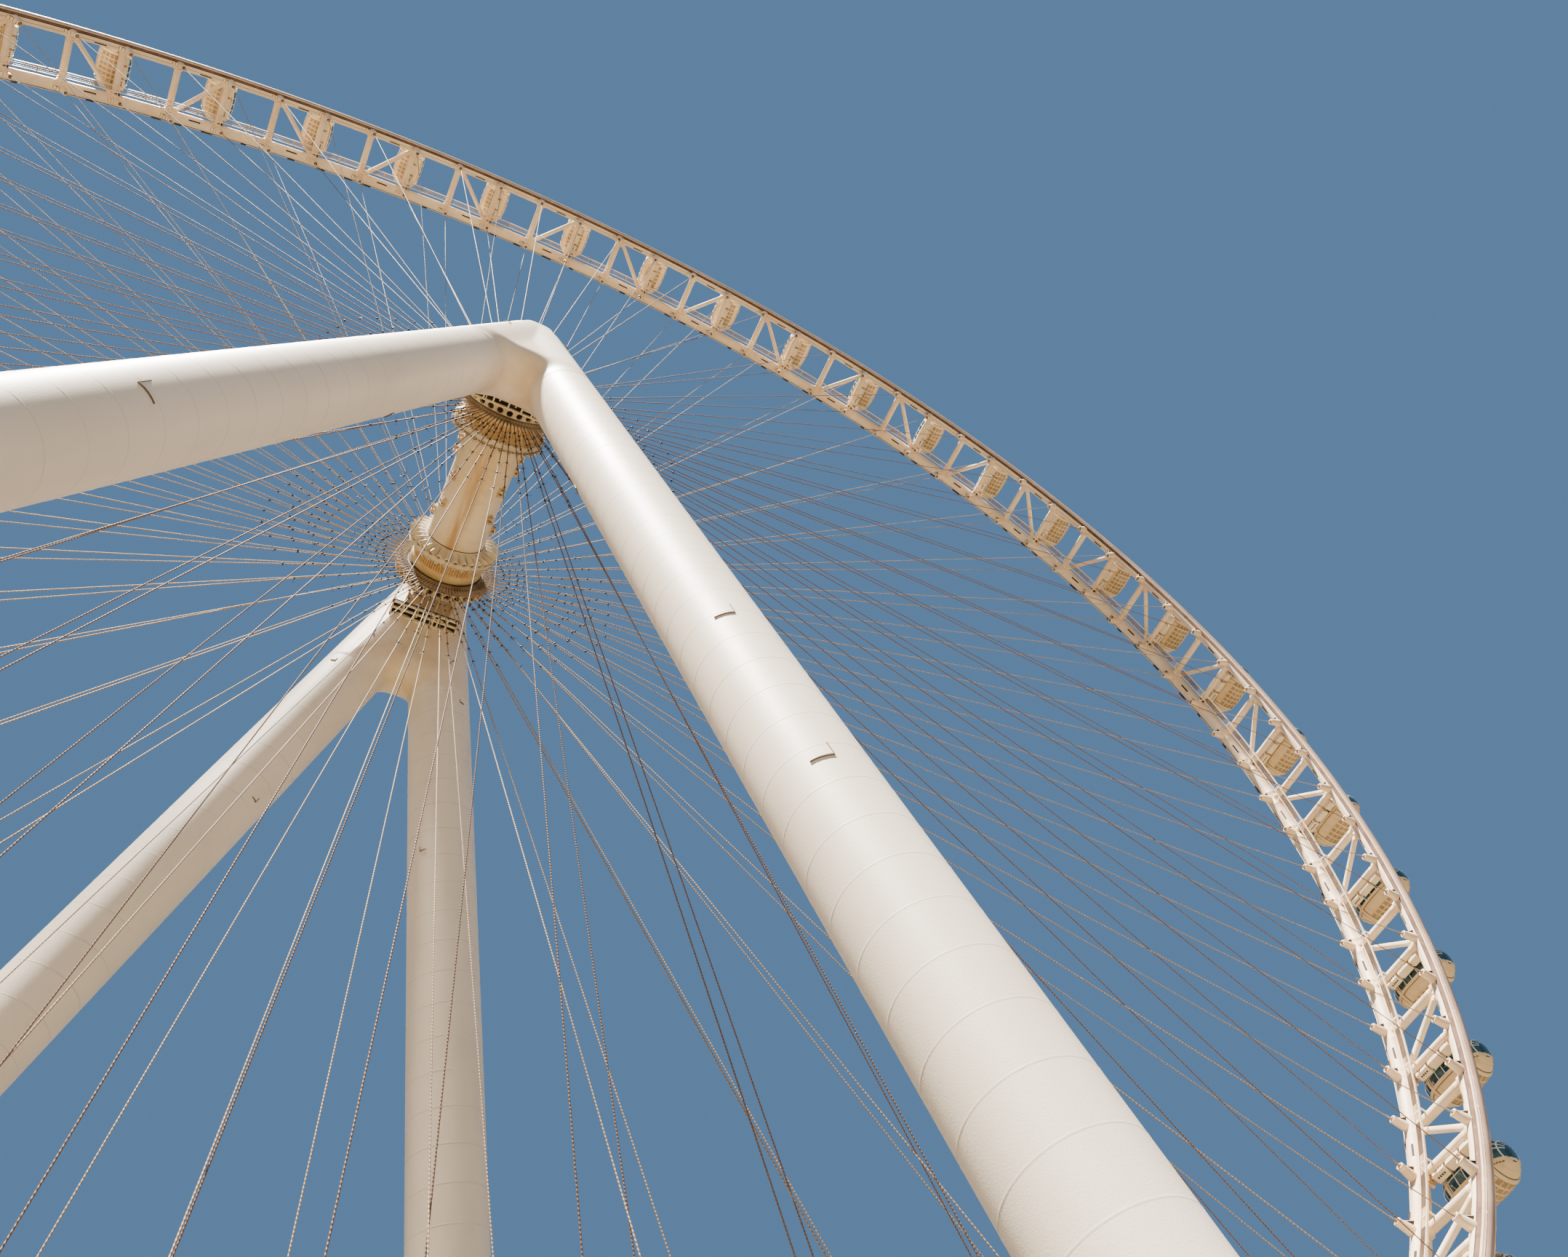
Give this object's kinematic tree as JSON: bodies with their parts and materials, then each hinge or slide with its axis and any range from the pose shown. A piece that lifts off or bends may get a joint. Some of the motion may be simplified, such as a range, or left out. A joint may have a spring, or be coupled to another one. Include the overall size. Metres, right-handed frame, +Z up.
{
  "type": "1:10 scale model of a giant observation wheel",
  "caption": "Cable-spoked observation wheel on two A-frame legs, with level ovoid capsules outside its double rim, as a 1:10 scale model.",
  "frame": {"origin": "on the floor, centred between the four feet, straight under the axle", "axes": "+Z up, +Y from the front A-frame to the back one along the wheel's axle, +X to the right seen from the front"},
  "size_m": [24.1214, 8.044, 24.9607],
  "materials": {
    "leg_paint": "satin white paint, weathered",
    "rim_paint": "satin cream-white paint, weathered",
    "hub_paint": "satin cream paint with rust and dirt streaks",
    "cable_steel": "locked-coil steel rope, dull",
    "spindle_steel": "machined steel",
    "capsule_shell": "satin cream hull under dark glazing"
  },
  "bodies": {
    "stand": {"spindle": "spindle_steel", "front_crown": "leg_paint", "back_crown": "leg_paint", "front_left_leg": "leg_paint", "front_right_leg": "leg_paint", "back_left_leg": "leg_paint", "back_right_leg": "leg_paint"},
    "wheel": {"hub_barrel": "hub_paint", "spokes_front": "cable_steel", "spokes_back": "cable_steel", "rim_right_half": "rim_paint", "rim_left_half": "rim_paint"},
    "capsule_01": {"capsule_01": "capsule_shell"},
    "capsule_02": {"capsule_02": "capsule_shell"},
    "capsule_03": {"capsule_03": "capsule_shell"},
    "capsule_04": {"capsule_04": "capsule_shell"},
    "capsule_05": {"capsule_05": "capsule_shell"},
    "capsule_06": {"capsule_06": "capsule_shell"},
    "capsule_07": {"capsule_07": "capsule_shell"},
    "capsule_08": {"capsule_08": "capsule_shell"},
    "capsule_09": {"capsule_09": "capsule_shell"},
    "capsule_10": {"capsule_10": "capsule_shell"},
    "capsule_11": {"capsule_11": "capsule_shell"},
    "capsule_12": {"capsule_12": "capsule_shell"},
    "capsule_13": {"capsule_13": "capsule_shell"},
    "capsule_14": {"capsule_14": "capsule_shell"},
    "capsule_15": {"capsule_15": "capsule_shell"},
    "capsule_16": {"capsule_16": "capsule_shell"},
    "capsule_17": {"capsule_17": "capsule_shell"},
    "capsule_18": {"capsule_18": "capsule_shell"},
    "capsule_19": {"capsule_19": "capsule_shell"},
    "capsule_20": {"capsule_20": "capsule_shell"},
    "capsule_21": {"capsule_21": "capsule_shell"},
    "capsule_22": {"capsule_22": "capsule_shell"},
    "capsule_23": {"capsule_23": "capsule_shell"},
    "capsule_24": {"capsule_24": "capsule_shell"},
    "capsule_25": {"capsule_25": "capsule_shell"},
    "capsule_26": {"capsule_26": "capsule_shell"},
    "capsule_27": {"capsule_27": "capsule_shell"},
    "capsule_28": {"capsule_28": "capsule_shell"},
    "capsule_29": {"capsule_29": "capsule_shell"},
    "capsule_30": {"capsule_30": "capsule_shell"},
    "capsule_31": {"capsule_31": "capsule_shell"},
    "capsule_32": {"capsule_32": "capsule_shell"},
    "capsule_33": {"capsule_33": "capsule_shell"},
    "capsule_34": {"capsule_34": "capsule_shell"},
    "capsule_35": {"capsule_35": "capsule_shell"},
    "capsule_36": {"capsule_36": "capsule_shell"},
    "capsule_37": {"capsule_37": "capsule_shell"},
    "capsule_38": {"capsule_38": "capsule_shell"},
    "capsule_39": {"capsule_39": "capsule_shell"},
    "capsule_40": {"capsule_40": "capsule_shell"},
    "capsule_41": {"capsule_41": "capsule_shell"},
    "capsule_42": {"capsule_42": "capsule_shell"},
    "capsule_43": {"capsule_43": "capsule_shell"},
    "capsule_44": {"capsule_44": "capsule_shell"},
    "capsule_45": {"capsule_45": "capsule_shell"},
    "capsule_46": {"capsule_46": "capsule_shell"},
    "capsule_47": {"capsule_47": "capsule_shell"},
    "capsule_48": {"capsule_48": "capsule_shell"}
  },
  "joints": [
    {"name": "wheel_spin", "type": "hinge", "parent": "stand", "child": "wheel", "pos_m": [0, 0, 12.9], "axis": [0, 1, 0], "continuous": true},
    {"name": "capsule_01_level", "type": "hinge", "parent": "wheel", "child": "capsule_01", "pos_m": [-0.07639, 0, 24.72975], "axis": [0, 1, 0], "continuous": true},
    {"name": "capsule_02_level", "type": "hinge", "parent": "wheel", "child": "capsule_02", "pos_m": [1.46835, 0, 24.63852], "axis": [0, 1, 0], "continuous": true},
    {"name": "capsule_03_level", "type": "hinge", "parent": "wheel", "child": "capsule_03", "pos_m": [2.98797, 0, 24.34644], "axis": [0, 1, 0], "continuous": true},
    {"name": "capsule_04_level", "type": "hinge", "parent": "wheel", "child": "capsule_04", "pos_m": [4.45647, 0, 23.8585], "axis": [0, 1, 0], "continuous": true},
    {"name": "capsule_05_level", "type": "hinge", "parent": "wheel", "child": "capsule_05", "pos_m": [5.84872, 0, 23.18306], "axis": [0, 1, 0], "continuous": true},
    {"name": "capsule_06_level", "type": "hinge", "parent": "wheel", "child": "capsule_06", "pos_m": [7.14089, 0, 22.33168], "axis": [0, 1, 0], "continuous": true},
    {"name": "capsule_07_level", "type": "hinge", "parent": "wheel", "child": "capsule_07", "pos_m": [8.31088, 0, 21.31892], "axis": [0, 1, 0], "continuous": true},
    {"name": "capsule_08_level", "type": "hinge", "parent": "wheel", "child": "capsule_08", "pos_m": [9.33867, 0, 20.16211], "axis": [0, 1, 0], "continuous": true},
    {"name": "capsule_09_level", "type": "hinge", "parent": "wheel", "child": "capsule_09", "pos_m": [10.20667, 0, 18.88104], "axis": [0, 1, 0], "continuous": true},
    {"name": "capsule_10_level", "type": "hinge", "parent": "wheel", "child": "capsule_10", "pos_m": [10.90003, 0, 17.49763], "axis": [0, 1, 0], "continuous": true},
    {"name": "capsule_11_level", "type": "hinge", "parent": "wheel", "child": "capsule_11", "pos_m": [11.40689, 0, 16.03556], "axis": [0, 1, 0], "continuous": true},
    {"name": "capsule_12_level", "type": "hinge", "parent": "wheel", "child": "capsule_12", "pos_m": [11.71858, 0, 14.51983], "axis": [0, 1, 0], "continuous": true},
    {"name": "capsule_13_level", "type": "hinge", "parent": "wheel", "child": "capsule_13", "pos_m": [11.82975, 0, 12.97639], "axis": [0, 1, 0], "continuous": true},
    {"name": "capsule_14_level", "type": "hinge", "parent": "wheel", "child": "capsule_14", "pos_m": [11.73852, 0, 11.43165], "axis": [0, 1, 0], "continuous": true},
    {"name": "capsule_15_level", "type": "hinge", "parent": "wheel", "child": "capsule_15", "pos_m": [11.44644, 0, 9.91203], "axis": [0, 1, 0], "continuous": true},
    {"name": "capsule_16_level", "type": "hinge", "parent": "wheel", "child": "capsule_16", "pos_m": [10.9585, 0, 8.44353], "axis": [0, 1, 0], "continuous": true},
    {"name": "capsule_17_level", "type": "hinge", "parent": "wheel", "child": "capsule_17", "pos_m": [10.28306, 0, 7.05128], "axis": [0, 1, 0], "continuous": true},
    {"name": "capsule_18_level", "type": "hinge", "parent": "wheel", "child": "capsule_18", "pos_m": [9.43168, 0, 5.75911], "axis": [0, 1, 0], "continuous": true},
    {"name": "capsule_19_level", "type": "hinge", "parent": "wheel", "child": "capsule_19", "pos_m": [8.41892, 0, 4.58912], "axis": [0, 1, 0], "continuous": true},
    {"name": "capsule_20_level", "type": "hinge", "parent": "wheel", "child": "capsule_20", "pos_m": [7.26211, 0, 3.56133], "axis": [0, 1, 0], "continuous": true},
    {"name": "capsule_21_level", "type": "hinge", "parent": "wheel", "child": "capsule_21", "pos_m": [5.98104, 0, 2.69333], "axis": [0, 1, 0], "continuous": true},
    {"name": "capsule_22_level", "type": "hinge", "parent": "wheel", "child": "capsule_22", "pos_m": [4.59763, 0, 1.99997], "axis": [0, 1, 0], "continuous": true},
    {"name": "capsule_23_level", "type": "hinge", "parent": "wheel", "child": "capsule_23", "pos_m": [3.13556, 0, 1.49311], "axis": [0, 1, 0], "continuous": true},
    {"name": "capsule_24_level", "type": "hinge", "parent": "wheel", "child": "capsule_24", "pos_m": [1.61983, 0, 1.18142], "axis": [0, 1, 0], "continuous": true},
    {"name": "capsule_25_level", "type": "hinge", "parent": "wheel", "child": "capsule_25", "pos_m": [0.07639, 0, 1.07025], "axis": [0, 1, 0], "continuous": true},
    {"name": "capsule_26_level", "type": "hinge", "parent": "wheel", "child": "capsule_26", "pos_m": [-1.46835, 0, 1.16148], "axis": [0, 1, 0], "continuous": true},
    {"name": "capsule_27_level", "type": "hinge", "parent": "wheel", "child": "capsule_27", "pos_m": [-2.98797, 0, 1.45356], "axis": [0, 1, 0], "continuous": true},
    {"name": "capsule_28_level", "type": "hinge", "parent": "wheel", "child": "capsule_28", "pos_m": [-4.45647, 0, 1.9415], "axis": [0, 1, 0], "continuous": true},
    {"name": "capsule_29_level", "type": "hinge", "parent": "wheel", "child": "capsule_29", "pos_m": [-5.84872, 0, 2.61694], "axis": [0, 1, 0], "continuous": true},
    {"name": "capsule_30_level", "type": "hinge", "parent": "wheel", "child": "capsule_30", "pos_m": [-7.14089, 0, 3.46832], "axis": [0, 1, 0], "continuous": true},
    {"name": "capsule_31_level", "type": "hinge", "parent": "wheel", "child": "capsule_31", "pos_m": [-8.31088, 0, 4.48108], "axis": [0, 1, 0], "continuous": true},
    {"name": "capsule_32_level", "type": "hinge", "parent": "wheel", "child": "capsule_32", "pos_m": [-9.33867, 0, 5.6379], "axis": [0, 1, 0], "continuous": true},
    {"name": "capsule_33_level", "type": "hinge", "parent": "wheel", "child": "capsule_33", "pos_m": [-10.20667, 0, 6.91896], "axis": [0, 1, 0], "continuous": true},
    {"name": "capsule_34_level", "type": "hinge", "parent": "wheel", "child": "capsule_34", "pos_m": [-10.90003, 0, 8.30237], "axis": [0, 1, 0], "continuous": true},
    {"name": "capsule_35_level", "type": "hinge", "parent": "wheel", "child": "capsule_35", "pos_m": [-11.40689, 0, 9.76444], "axis": [0, 1, 0], "continuous": true},
    {"name": "capsule_36_level", "type": "hinge", "parent": "wheel", "child": "capsule_36", "pos_m": [-11.71858, 0, 11.28017], "axis": [0, 1, 0], "continuous": true},
    {"name": "capsule_37_level", "type": "hinge", "parent": "wheel", "child": "capsule_37", "pos_m": [-11.82975, 0, 12.82361], "axis": [0, 1, 0], "continuous": true},
    {"name": "capsule_38_level", "type": "hinge", "parent": "wheel", "child": "capsule_38", "pos_m": [-11.73852, 0, 14.36835], "axis": [0, 1, 0], "continuous": true},
    {"name": "capsule_39_level", "type": "hinge", "parent": "wheel", "child": "capsule_39", "pos_m": [-11.44644, 0, 15.88797], "axis": [0, 1, 0], "continuous": true},
    {"name": "capsule_40_level", "type": "hinge", "parent": "wheel", "child": "capsule_40", "pos_m": [-10.9585, 0, 17.35647], "axis": [0, 1, 0], "continuous": true},
    {"name": "capsule_41_level", "type": "hinge", "parent": "wheel", "child": "capsule_41", "pos_m": [-10.28306, 0, 18.74872], "axis": [0, 1, 0], "continuous": true},
    {"name": "capsule_42_level", "type": "hinge", "parent": "wheel", "child": "capsule_42", "pos_m": [-9.43168, 0, 20.04089], "axis": [0, 1, 0], "continuous": true},
    {"name": "capsule_43_level", "type": "hinge", "parent": "wheel", "child": "capsule_43", "pos_m": [-8.41892, 0, 21.21088], "axis": [0, 1, 0], "continuous": true},
    {"name": "capsule_44_level", "type": "hinge", "parent": "wheel", "child": "capsule_44", "pos_m": [-7.26211, 0, 22.23867], "axis": [0, 1, 0], "continuous": true},
    {"name": "capsule_45_level", "type": "hinge", "parent": "wheel", "child": "capsule_45", "pos_m": [-5.98104, 0, 23.10667], "axis": [0, 1, 0], "continuous": true},
    {"name": "capsule_46_level", "type": "hinge", "parent": "wheel", "child": "capsule_46", "pos_m": [-4.59763, 0, 23.80003], "axis": [0, 1, 0], "continuous": true},
    {"name": "capsule_47_level", "type": "hinge", "parent": "wheel", "child": "capsule_47", "pos_m": [-3.13556, 0, 24.30689], "axis": [0, 1, 0], "continuous": true},
    {"name": "capsule_48_level", "type": "hinge", "parent": "wheel", "child": "capsule_48", "pos_m": [-1.61983, 0, 24.61858], "axis": [0, 1, 0], "continuous": true}
  ],
  "couplings": [
    {"joint": "capsule_01_level", "follows": "wheel_spin", "ratio": -1},
    {"joint": "capsule_02_level", "follows": "wheel_spin", "ratio": -1},
    {"joint": "capsule_03_level", "follows": "wheel_spin", "ratio": -1},
    {"joint": "capsule_04_level", "follows": "wheel_spin", "ratio": -1},
    {"joint": "capsule_05_level", "follows": "wheel_spin", "ratio": -1},
    {"joint": "capsule_06_level", "follows": "wheel_spin", "ratio": -1},
    {"joint": "capsule_07_level", "follows": "wheel_spin", "ratio": -1},
    {"joint": "capsule_08_level", "follows": "wheel_spin", "ratio": -1},
    {"joint": "capsule_09_level", "follows": "wheel_spin", "ratio": -1},
    {"joint": "capsule_10_level", "follows": "wheel_spin", "ratio": -1},
    {"joint": "capsule_11_level", "follows": "wheel_spin", "ratio": -1},
    {"joint": "capsule_12_level", "follows": "wheel_spin", "ratio": -1},
    {"joint": "capsule_13_level", "follows": "wheel_spin", "ratio": -1},
    {"joint": "capsule_14_level", "follows": "wheel_spin", "ratio": -1},
    {"joint": "capsule_15_level", "follows": "wheel_spin", "ratio": -1},
    {"joint": "capsule_16_level", "follows": "wheel_spin", "ratio": -1},
    {"joint": "capsule_17_level", "follows": "wheel_spin", "ratio": -1},
    {"joint": "capsule_18_level", "follows": "wheel_spin", "ratio": -1},
    {"joint": "capsule_19_level", "follows": "wheel_spin", "ratio": -1},
    {"joint": "capsule_20_level", "follows": "wheel_spin", "ratio": -1},
    {"joint": "capsule_21_level", "follows": "wheel_spin", "ratio": -1},
    {"joint": "capsule_22_level", "follows": "wheel_spin", "ratio": -1},
    {"joint": "capsule_23_level", "follows": "wheel_spin", "ratio": -1},
    {"joint": "capsule_24_level", "follows": "wheel_spin", "ratio": -1},
    {"joint": "capsule_25_level", "follows": "wheel_spin", "ratio": -1},
    {"joint": "capsule_26_level", "follows": "wheel_spin", "ratio": -1},
    {"joint": "capsule_27_level", "follows": "wheel_spin", "ratio": -1},
    {"joint": "capsule_28_level", "follows": "wheel_spin", "ratio": -1},
    {"joint": "capsule_29_level", "follows": "wheel_spin", "ratio": -1},
    {"joint": "capsule_30_level", "follows": "wheel_spin", "ratio": -1},
    {"joint": "capsule_31_level", "follows": "wheel_spin", "ratio": -1},
    {"joint": "capsule_32_level", "follows": "wheel_spin", "ratio": -1},
    {"joint": "capsule_33_level", "follows": "wheel_spin", "ratio": -1},
    {"joint": "capsule_34_level", "follows": "wheel_spin", "ratio": -1},
    {"joint": "capsule_35_level", "follows": "wheel_spin", "ratio": -1},
    {"joint": "capsule_36_level", "follows": "wheel_spin", "ratio": -1},
    {"joint": "capsule_37_level", "follows": "wheel_spin", "ratio": -1},
    {"joint": "capsule_38_level", "follows": "wheel_spin", "ratio": -1},
    {"joint": "capsule_39_level", "follows": "wheel_spin", "ratio": -1},
    {"joint": "capsule_40_level", "follows": "wheel_spin", "ratio": -1},
    {"joint": "capsule_41_level", "follows": "wheel_spin", "ratio": -1},
    {"joint": "capsule_42_level", "follows": "wheel_spin", "ratio": -1},
    {"joint": "capsule_43_level", "follows": "wheel_spin", "ratio": -1},
    {"joint": "capsule_44_level", "follows": "wheel_spin", "ratio": -1},
    {"joint": "capsule_45_level", "follows": "wheel_spin", "ratio": -1},
    {"joint": "capsule_46_level", "follows": "wheel_spin", "ratio": -1},
    {"joint": "capsule_47_level", "follows": "wheel_spin", "ratio": -1},
    {"joint": "capsule_48_level", "follows": "wheel_spin", "ratio": -1}
  ]
}
